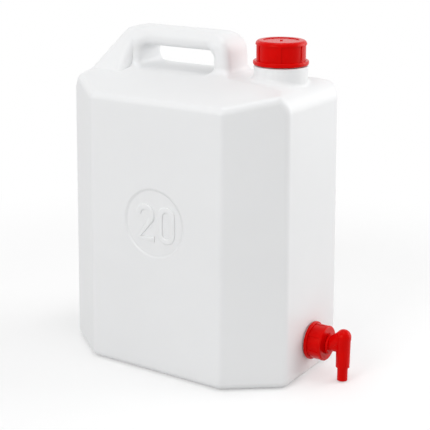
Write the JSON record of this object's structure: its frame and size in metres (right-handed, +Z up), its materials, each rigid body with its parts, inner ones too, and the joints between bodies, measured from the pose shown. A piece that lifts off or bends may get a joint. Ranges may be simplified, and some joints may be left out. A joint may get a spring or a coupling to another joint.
{
  "type": "jerrycan",
  "caption": "White plastic jerrycan with an octagonal plan, a moulded-in carrying handle, a red screw cap and a red swivelling tap low on one end.",
  "frame": {"origin": "middle of the base, on the plane the can stands on", "axes": "+Z up, +X along the handle towards the filler neck and the tap, the face with the number disc looks towards -Y"},
  "size_m": [0.3688, 0.2204, 0.4095],
  "materials": {
    "can_plastic": "satin blow-moulded polyethylene",
    "red_plastic": "glossy injection-moulded",
    "seal_rubber": "matte"
  },
  "bodies": {
    "can": {"can_body": "can_plastic"},
    "cap_liner": {"cap_seal": "seal_rubber"},
    "cap": {"filler_cap": "red_plastic"},
    "tap_core": {"tap_housing": "red_plastic", "tap_seal": "seal_rubber"},
    "nut": {"tap_nut": "red_plastic"},
    "spout": {"tap_spout": "red_plastic", "spout_ring": "seal_rubber"}
  },
  "joints": [
    {"name": "cap_lift", "type": "slide", "parent": "can", "child": "cap_liner", "axis": [0, 0, 1], "range_m": [0, 0.012]},
    {"name": "cap_turn", "type": "hinge", "parent": "cap_liner", "child": "cap", "pos_m": [0.108, 0, 0.39], "axis": [0, 0, 1], "range_deg": [0, 720]},
    {"name": "tap_draw", "type": "slide", "parent": "can", "child": "tap_core", "axis": [1, 0, 0], "range_m": [0, 0.012]},
    {"name": "nut_turn", "type": "hinge", "parent": "tap_core", "child": "nut", "pos_m": [0.17, 0, 0.0435], "axis": [1, 0, 0], "range_deg": [0, 1080]},
    {"name": "spout_swivel", "type": "hinge", "parent": "tap_core", "child": "spout", "pos_m": [0.17, 0, 0.0435], "axis": [1, 0, 0], "range_deg": [-90, 90]}
  ],
  "couplings": [
    {"joint": "cap_lift", "follows": "cap_turn", "m_per_rad": 0.00095492},
    {"joint": "tap_draw", "follows": "nut_turn", "m_per_rad": 0.00063661}
  ]
}
